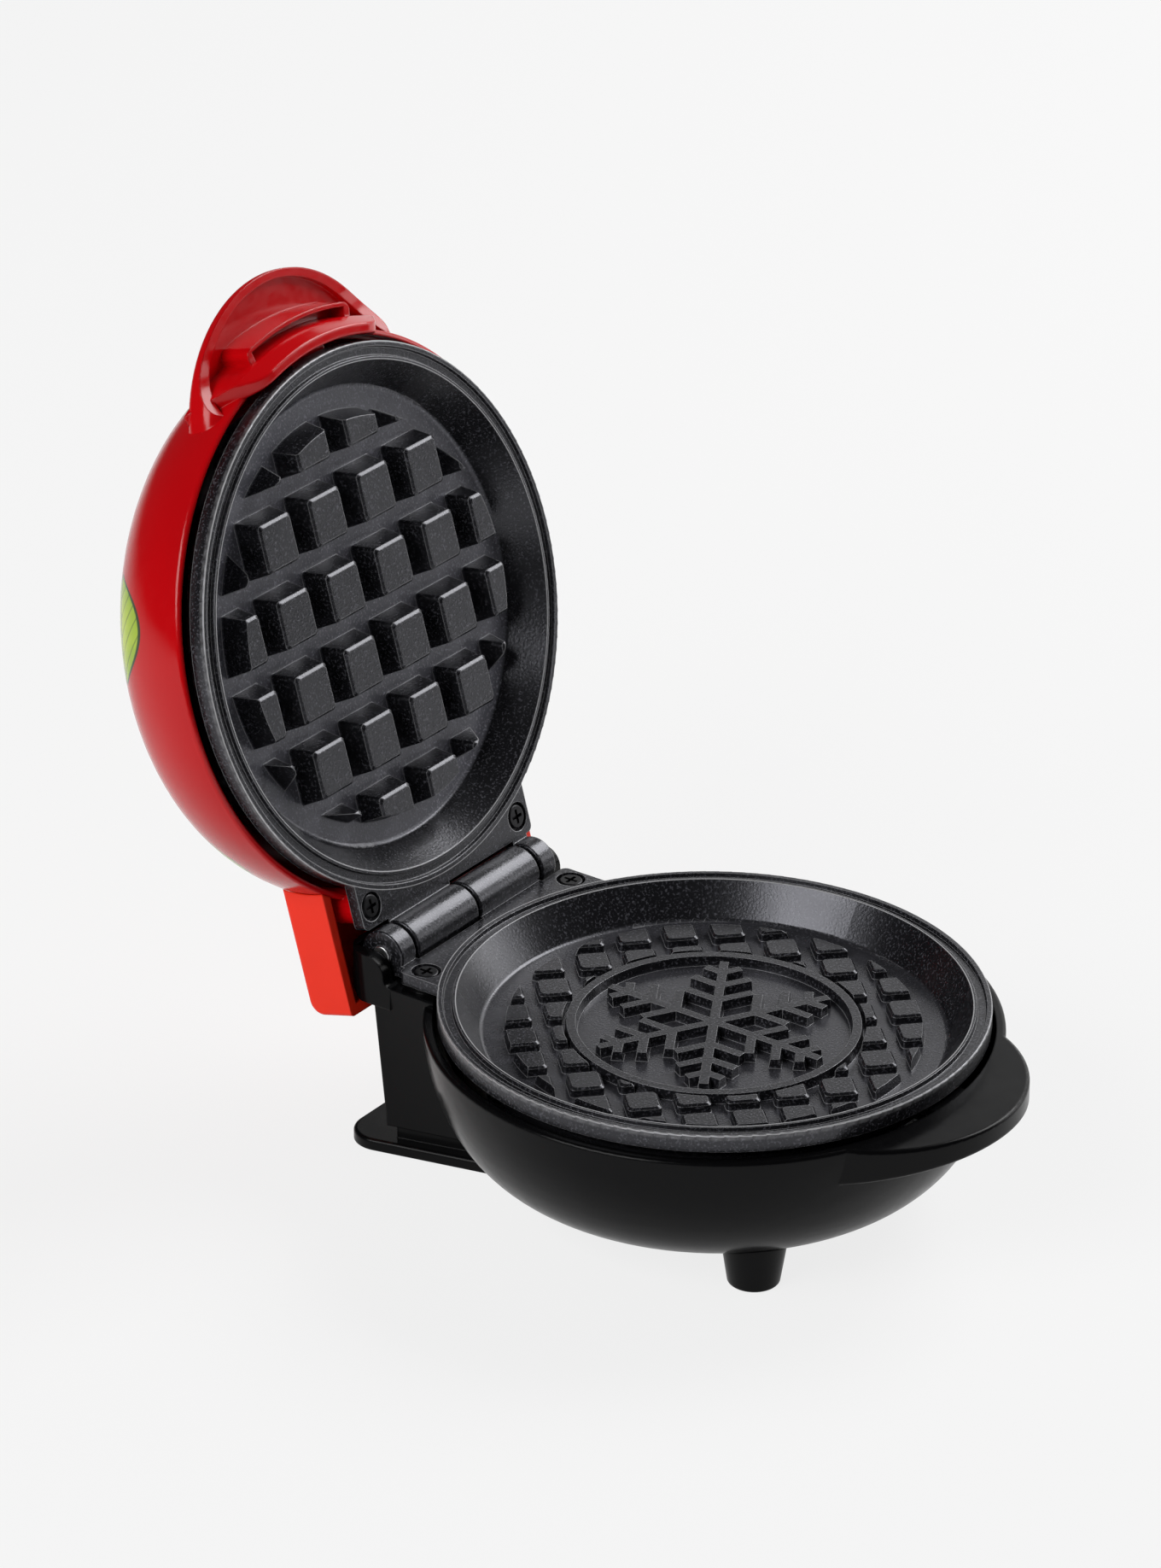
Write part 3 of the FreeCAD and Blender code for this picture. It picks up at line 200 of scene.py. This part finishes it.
def rim_share(finish, from_centre, depth):
    """1 on the edges of the rim's rings, falling to 0 beside them."""
    square = vector_sums(finish, "DOT_PRODUCT", from_centre, from_centre)
    axis_square = sums(finish, "SUBTRACT", square, sums(finish, "MULTIPLY", depth, depth))
    across = sums(finish, "SQRT", axis_square)
    share = 0.0
    for radius, half_width in RIM_LINES:
        beside = sums(finish, "ABSOLUTE", sums(finish, "SUBTRACT", across, radius))
        share = sums(finish, "MAXIMUM", share, stretch(finish, beside, 0.0, half_width, 1.0, 0.0))
    return sums(finish, "MULTIPLY", share, stretch(finish, depth, IN_GROOVE, ON_LIP, 0.0, 1.0))


# %% Non-stick coat
CHARCOAL = (0.0056, 0.0056, 0.0066)
FLECK = (0.085, 0.085, 0.098)
# painted highlight: a pale colour for edges, standing in for their glints
PAINTED_EDGE_GLINT = (0.32, 0.32, 0.33)
# painted highlight: a paler colour for the rim's edge lines, standing in for their glints
PAINTED_RIM_GLINT = (0.50, 0.50, 0.51)
# where the floor lies, for the painted sheen laid on it
FLOOR_DEPTH = 0.0081
FLOOR_FADE = 0.0006    # this far above the floor its grey is gone
FLOOR_FULL = 0.0001    # and this far above it the grey is full
COAT_SHINE = 0.62
COAT_SHEEN = (0.91, 0.915, 1.0, 1)
PEBBLE_SCALE = 1750
PEBBLE_DEPTH = 0.0001
FLECK_START = 0.54    # of the pebbles' height
FLECK_FULL = 0.74
FLOOR_FLECK = 2.6     # times as pale as the floor
SMOOTH_COAT = 0.23
ROUGH_COAT = 0.30


def coat_finish(name, centre, out, painted_floor_sheen, edge):
    finish, shader = new_finish(name, CHARCOAL, SMOOTH_COAT,
                                Specular_IOR_Level=COAT_SHINE, Specular_Tint=COAT_SHEEN)
    skin = grain(finish, PEBBLE_SCALE)
    flecks = stretch(finish, skin, FLECK_START, FLECK_FULL, 0.0, 1.0)
    rounded_normal = soft_edges(finish, edge)
    from_centre = vector_sums(finish, "SUBTRACT", own_place(finish), centre)
    depth = vector_sums(finish, "DOT_PRODUCT", from_centre, out)
    over_floor = sums(finish, "ADD", depth, FLOOR_DEPTH)
    # painted sheen: the floor of the plate gets a greyer tone than the rest of the coat
    on_floor = stretch(finish, over_floor, FLOOR_FADE, FLOOR_FULL, 0.0, 1.0)
    floor_fleck = tuple(value * FLOOR_FLECK for value in painted_floor_sheen)
    tone = tint(finish, on_floor, tint(finish, flecks, CHARCOAL, FLECK),
                tint(finish, flecks, painted_floor_sheen, floor_fleck))
    # painted highlight: edges found by the rounded normal are painted pale
    tone = tint(finish, edge_share(finish, rounded_normal), tone, PAINTED_EDGE_GLINT)
    # painted highlight: the rim's edge lines are painted paler still
    tone = tint(finish, rim_share(finish, from_centre, depth), tone, PAINTED_RIM_GLINT)
    gloss_drift = stretch(finish, grain(finish, 60, 3.0), 0.3, 0.7, SMOOTH_COAT, ROUGH_COAT)
    tree_links = finish.node_tree.links
    tree_links.new(tone, shader.inputs["Base Color"])
    tree_links.new(gloss_drift, shader.inputs["Roughness"])
    pebbled = relief(finish, skin, PEBBLE_DEPTH, 0.45, rounded_normal)
    tree_links.new(pebbled, shader.inputs["Normal"])
    return finish


LOWER_CENTRE = (0.0, -0.0695, 0.0464)
LOWER_OUT = (0.0, 0.0, 1.0)
# painted sheen on the floor of the lower plate
LOWER_FLOOR_SHEEN = (0.026, 0.026, 0.030)
LID_CENTRE = (0.0, 0.02013, 0.11418)
LID_TURN = math.radians(-105.8)
LID_OUT = (0.0, math.sin(LID_TURN), -math.cos(LID_TURN))
# painted sheen on the floor of the upper plate, paler because that plate gets less light
UPPER_FLOOR_SHEEN = (0.088, 0.088, 0.103)

wear(["lower_plate"], coat_finish("lower_coat", LOWER_CENTRE, LOWER_OUT, LOWER_FLOOR_SHEEN, edge=0.00022))
wear(["upper_plate"], coat_finish("upper_coat", LID_CENTRE, LID_OUT, UPPER_FLOOR_SHEEN, edge=0.0004))

# %% [markdown]
# ## Mouldings
# The lid, its hinge cover and the base are glossy injection mouldings. Such gloss is never a
# perfect mirror: the steel of the mould leaves slow waves, and handling leaves faint dull spots.
# A slow noise gives the waves, a finer one the dull spots, and a third lets the colour drift a
# little, as it does in thick and thin places.

# %% A glossy moulding
DEEPEST = 0.92       # drift of the colour
PALEST = 1.06
DULL_SPOT = 0.08     # rougher by this much
WAVE_DEPTH = 0.0003


def gloss(name, colour, roughness, shine, edge):
    finish, shader = new_finish(name, colour, roughness, Specular_IOR_Level=shine)
    drift = stretch(finish, grain(finish, 28), 0.3, 0.7, 0.0, 1.0)
    deep = tuple(value * DEEPEST for value in colour)
    pale = tuple(min(1.0, value * PALEST) for value in colour)
    hue = tint(finish, drift, deep, pale)
    dull = stretch(finish, grain(finish, 420, 4.0), 0.35, 0.75, roughness, roughness + DULL_SPOT)
    tree_links = finish.node_tree.links
    tree_links.new(hue, shader.inputs["Base Color"])
    tree_links.new(dull, shader.inputs["Roughness"])
    waves = relief(finish, grain(finish, 45), WAVE_DEPTH, 0.4, soft_edges(finish, edge))
    tree_links.new(waves, shader.inputs["Normal"])
    return finish, shader, hue


LID_RED = (0.55, 0.0015, 0.004)
COVER_RED = (1.0, 0.033, 0.011)
BASE_BLACK = (0.0028, 0.0028, 0.0031)

red, red_shader, red_hue = gloss("red_moulding", LID_RED, roughness=0.12, shine=0.34, edge=0.0005)
cover_red = gloss("bright_red_moulding", COVER_RED, roughness=0.18, shine=0.24, edge=0.0006)[0]
black = gloss("black_moulding", BASE_BLACK, roughness=0.18, shine=0.12, edge=0.0005)[0]
wear(["lid_shell"], red)
wear(["hinge_cover"], cover_red)
wear(["base_shell", "rear_foot", "left_foot", "right_foot"], black)

# %% [markdown]
# ## Leaf print on the lid
# The lid's dome carries a cheerful print. It could be a picture on a UV map, but a print of
# simple leaves is easier to draw with a few sums in the material: the place on the dome is
# turned into an angle round its axis and a height above the rim, the angle is wrapped so that
# one leaf repeats all the way round, and a leaf is where a small formula is above zero. The
# same number, a little higher, gives the dark outline.

# %% Place on the dome
def length_of(finish, first, second):
    squares = [sums(finish, "MULTIPLY", value, value) for value in (first, second)]
    return sums(finish, "SQRT", sums(finish, "ADD", *squares))


shut = red.node_tree.nodes.new("ShaderNodeMapping")
shut.vector_type = "TEXTURE"
shut.inputs["Location"].default_value = LID_CENTRE
shut.inputs["Rotation"].default_value = (LID_TURN, 0, 0)
red.node_tree.links.new(own_place(red), shut.inputs["Vector"])
split = red.node_tree.nodes.new("ShaderNodeSeparateXYZ")
red.node_tree.links.new(shut.outputs["Vector"], split.inputs[0])
across = length_of(red, split.outputs[0], split.outputs[1])
angle = sums(red, "ARCTAN2", split.outputs[1], split.outputs[0])
height = sums(red, "ARCTAN2", split.outputs[2], across)
print("print is drawn by angle, distance and height on the dome")

# %% [markdown]
# Ink lies on the outside of the dome only. Its inner face has the same angles, so the print is
# held back wherever the surface faces the dome's middle, and beyond the dome, on the grip.

# %% Where ink may lie
DOME_EDGE = 0.0634

from_middle = vector_sums(red, "SUBTRACT", own_place(red), LID_CENTRE)
own_normal = red.node_tree.nodes.new("ShaderNodeTexCoord").outputs["Normal"]
faces_out = sums(red, "GREATER_THAN", vector_sums(red, "DOT_PRODUCT", from_middle, own_normal), 0.0)
on_dome = sums(red, "LESS_THAN", across, DOME_EDGE)
may_print = sums(red, "MULTIPLY", faces_out, on_dome)

# %% Leaves and berries
COPIES = 6
HALF_STEP = math.pi / COPIES
FIRST_LEAF = math.radians(197)
DOME_RADIUS = 0.060
VEIN_SPACING = 0.0042
LEAF_GREEN = (0.30, 0.46, 0.016)
LEAF_LIGHT = (0.52, 0.66, 0.035)
LEAF_DARK = (0.022, 0.045, 0.006)
BERRY = (0.80, 0.42, 0.03)


def around(first):
    """Distance along the ring from the middle of the nearest copy."""
    near = sums(red, "WRAP", sums(red, "SUBTRACT", angle, first), HALF_STEP, -HALF_STEP)
    return sums(red, "MULTIPLY", near, across)


def above(rise):
    return sums(red, "MULTIPLY", sums(red, "SUBTRACT", height, math.radians(rise)), DOME_RADIUS)


def leaf_ring(first, rise, half_length, half_width):
    """Leaf value, above 0 inside a leaf, and the share of dark lines in it."""
    along = around(first)
    beside = sums(red, "ABSOLUTE", above(rise))
    part = sums(red, "DIVIDE", along, half_length)
    rounding = sums(red, "SUBTRACT", 1.0, sums(red, "MULTIPLY", part, part))
    leaf = sums(red, "SUBTRACT", rounding, sums(red, "DIVIDE", beside, half_width))
    slant = sums(red, "SUBTRACT", along, beside)
    step = sums(red, "FRACT", sums(red, "DIVIDE", slant, VEIN_SPACING))
    vein = sums(red, "ABSOLUTE", sums(red, "SUBTRACT", step, 0.5))
    lines = sums(red, "MAXIMUM", stretch(red, vein, 0.05, 0.09, 0.5, 0.0),
                 stretch(red, beside, 0.00025, 0.0005, 0.8, 0.0))
    inside = sums(red, "GREATER_THAN", leaf, 0.0)
    return leaf, sums(red, "MULTIPLY", lines, inside)


def berry_ring(first, rise, radius):
    distance = length_of(red, around(first), above(rise))
    return stretch(red, distance, radius - 0.0002, radius, 1.0, 0.0)


low_leaf, low_lines = leaf_ring(FIRST_LEAF, 25, 0.0125, 0.0105)
high_leaf, high_lines = leaf_ring(FIRST_LEAF + HALF_STEP, 52, 0.0125, 0.0075)
leaf = sums(red, "MAXIMUM", low_leaf, high_leaf)
lines = sums(red, "MAXIMUM", low_lines, high_lines)
shade = stretch(red, sums(red, "ADD", leaf, grain(red, 160, 3.0)), 0.5, 1.3, 0.0, 1.0)
green = tint(red, lines, tint(red, shade, LEAF_GREEN, LEAF_LIGHT), LEAF_DARK)
inked = tint(red, stretch(red, leaf, 0.09, 0.13, 0.0, 1.0), LEAF_DARK, green)
in_leaf = sums(red, "MULTIPLY", stretch(red, leaf, 0.0, 0.03, 0.0, 1.0), may_print)
in_berry = sums(red, "MULTIPLY", may_print,
                sums(red, "MAXIMUM", berry_ring(FIRST_LEAF, 50, 0.003),
                     berry_ring(FIRST_LEAF + HALF_STEP, 36, 0.0022)))
printed = tint(red, in_berry, tint(red, in_leaf, red_hue, inked), BERRY)
red.node_tree.links.new(printed, red_shader.inputs["Base Color"])
print("print:", 2 * COPIES, "leaves and", 2 * COPIES, "berries on the dome")

# %% [markdown]
# ## Small parts
# Screws, sheet metal and insulation are seen only from some sides or when the case is
# opened, but each still gets a finish of its own: one noise drives both the tone and the
# roughness, so that lighter specks are also duller.

# %% Finishes of the small parts
SPECK = 0.06    # how much rougher or smoother a speck is


def plain(name, colour, roughness, metal, scale):
    finish, shader = new_finish(name, colour, roughness, Metallic=metal)
    fine = grain(finish, scale, 3.0)
    tree_links = finish.node_tree.links
    lighter = tuple(min(1.0, value * 1.25 + 0.004) for value in colour)
    darker = tuple(value * 0.8 for value in colour)
    dull = stretch(finish, fine, 0.3, 0.7, roughness - SPECK, roughness + SPECK)
    tree_links.new(tint(finish, fine, darker, lighter), shader.inputs["Base Color"])
    tree_links.new(dull, shader.inputs["Roughness"])
    return finish


steel = plain("zinc_steel", (0.55, 0.55, 0.56), roughness=0.34, metal=1.0, scale=900)
black_steel = plain("blackened_steel", (0.03, 0.03, 0.032), roughness=0.38, metal=1.0, scale=900)
sheet = plain("pressed_sheet", (0.74, 0.74, 0.75), roughness=0.30, metal=1.0, scale=300)
sheath = plain("heater_sheath", (0.32, 0.30, 0.28), roughness=0.45, metal=1.0, scale=500)
dark_plastic = plain("dark_plastic", (0.018, 0.018, 0.018), roughness=0.48, metal=0.0, scale=1200)
pale_plastic = plain("pale_plastic", (0.72, 0.70, 0.64), roughness=0.5, metal=0.0, scale=1200)
brown_wire = plain("brown_insulation", (0.17, 0.06, 0.025), roughness=0.5, metal=0.0, scale=1500)
blue_wire = plain("blue_insulation", (0.03, 0.07, 0.30), roughness=0.5, metal=0.0, scale=1500)
lens = plain("amber_lens", (0.75, 0.26, 0.03), roughness=0.18, metal=0.0, scale=300)
lamp = plain("lamp_glass", (0.85, 0.72, 0.55), roughness=0.12, metal=0.0, scale=300)

wear(["lower_plate_screws", "upper_plate_screws"], black_steel)
wear(["foot_screws", "rear_foot_screws", "lower_clamp_screws", "upper_clamp_screws",
      "lower_shield_screws", "upper_shield_screws", "thermostat_clip", "thermostat_clip_screws",
      "fuse_clip", "hinge_pin"], steel)
wear(["lower_heater_clamp", "upper_heater_clamp", "lower_heat_shield", "upper_heat_shield"], sheet)
wear(["lower_heater", "upper_heater"], sheath)
wear(["thermostat", "cord_gland"], dark_plastic)
wear(["thermal_fuse", "terminal_block"], pale_plastic)
wear(["live_lead"], brown_wire)
wear(["neutral_lead"], blue_wire)
wear(["indicator_lens"], lens)
wear(["indicator_lamp"], lamp)

# %% [markdown]
# ## Table
# The object stands on a pale table in a dark room. A plain white floor would need a lot of
# light to look white all over, so the floor shows the camera mostly its own pale tone. An eighth
# of its real shading stays, and with it the shadow under the feet. Shiny and clear pieces mirror
# that tone too, but weaker, and only out to less than a metre, where a studio's table ends.

# %% Floor
floor_mesh = bpy.data.meshes.new("table_top")
shape = bmesh.new()
bmesh.ops.create_circle(shape, cap_ends=True, radius=4.0, segments=96)
shape.to_mesh(floor_mesh)
shape.free()
floor = bpy.data.objects.new("table_top", floor_mesh)
bpy.context.scene.collection.objects.link(floor)

PALE = (0.925, 0.925, 0.925)
OWN_TONE = 0.88
MIRRORED_SHARE = 0.6
MIRROR_FADE = 0.6
MIRROR_END = 0.95
table, table_shader = new_finish("pale_table", PALE, 0.9, Specular_IOR_Level=0.0)
tree = table.node_tree
path = tree.nodes.new("ShaderNodeLightPath").outputs
spot = tree.nodes.new("ShaderNodeSeparateXYZ")
tree.links.new(own_place(table), spot.inputs[0])
out_from_middle = length_of(table, spot.outputs[0], spot.outputs[1])
near = stretch(table, out_from_middle, MIRROR_FADE, MIRROR_END, 1.0, 0.0)
mirrored = sums(table, "MAXIMUM", path["Is Glossy Ray"], path["Is Transmission Ray"])
in_mirror = sums(table, "MULTIPLY", mirrored, sums(table, "MULTIPLY", near, MIRRORED_SHARE))
seen = sums(table, "MAXIMUM", path["Is Camera Ray"], in_mirror)
glow = tree.nodes.new("ShaderNodeEmission")
glow.inputs["Color"].default_value = (*PALE, 1)
mixed = tree.nodes.new("ShaderNodeMixShader")
tree.links.new(sums(table, "MULTIPLY", seen, OWN_TONE), mixed.inputs[0])
tree.links.new(table_shader.outputs[0], mixed.inputs[1])
tree.links.new(glow.outputs[0], mixed.inputs[2])
tree.links.new(mixed.outputs[0], tree.nodes["Material Output"].inputs["Surface"])
floor_mesh.materials.append(table)
print("floor tone", PALE[0], "with", OWN_TONE, "of its own")

# %% [markdown]
# ## Light
# Two soft boxes do most of the work. The left one, a little behind the object, lights the red
# side and makes the pale patch on the far wall of the lower plate. The right one, higher up,
# draws the bright streak along the hinge barrels. Two dimmer windows lay a sheen on the plates: a
# wide one at the right on the floor of the lower plate, and a small, low one at the front right
# on the wall beside the hinge. The room itself stays dark, which keeps the red of the lid deep
# where the gloss mirrors that side.

# %% Lamps and surroundings
def soft_lamp(name, place, aim, width, height, radiance):
    """Rectangle of light; radiance 1 looks as bright as a white sheet in plain light."""
    data = bpy.data.lights.new(name, "AREA")
    data.shape = "RECTANGLE"
    data.size = width
    data.size_y = height
    data.energy = radiance * math.pi * width * height
    lamp_object = bpy.data.objects.new(name, data)
    lamp_object.location = place
    direction = Vector(aim) - Vector(place)
    lamp_object.rotation_euler = direction.to_track_quat("-Z", "Y").to_euler()
    bpy.context.scene.collection.objects.link(lamp_object)
    print(name, round(data.energy, 1), "W at", place)


soft_lamp("left_box", (-1.145, 0.18, 0.86), aim=(0, 0, 0.08),
          width=0.94, height=0.72, radiance=6.2)
soft_lamp("right_box", (1.01, -0.27, 1.01), aim=(0, 0, 0.06),
          width=0.90, height=0.66, radiance=7.6)
soft_lamp("right_window", (1.45, 0.05, 0.52), aim=(0, 0, 0.08),
          width=2.2, height=0.9, radiance=1.0)
soft_lamp("front_window", (1.18, -0.77, 0.39), aim=(0, 0, 0.05),
          width=0.80, height=0.40, radiance=2.4)

ROOM = (0.045, 0.045, 0.047)
world = bpy.data.worlds.new("studio")
bpy.context.scene.world = world
world.use_nodes = True
world.node_tree.nodes["Background"].inputs["Color"].default_value = (*ROOM, 1)
world.node_tree.nodes["Background"].inputs["Strength"].default_value = 1.0
bpy.context.scene.view_settings.view_transform = "Standard"
print("room tone", ROOM)
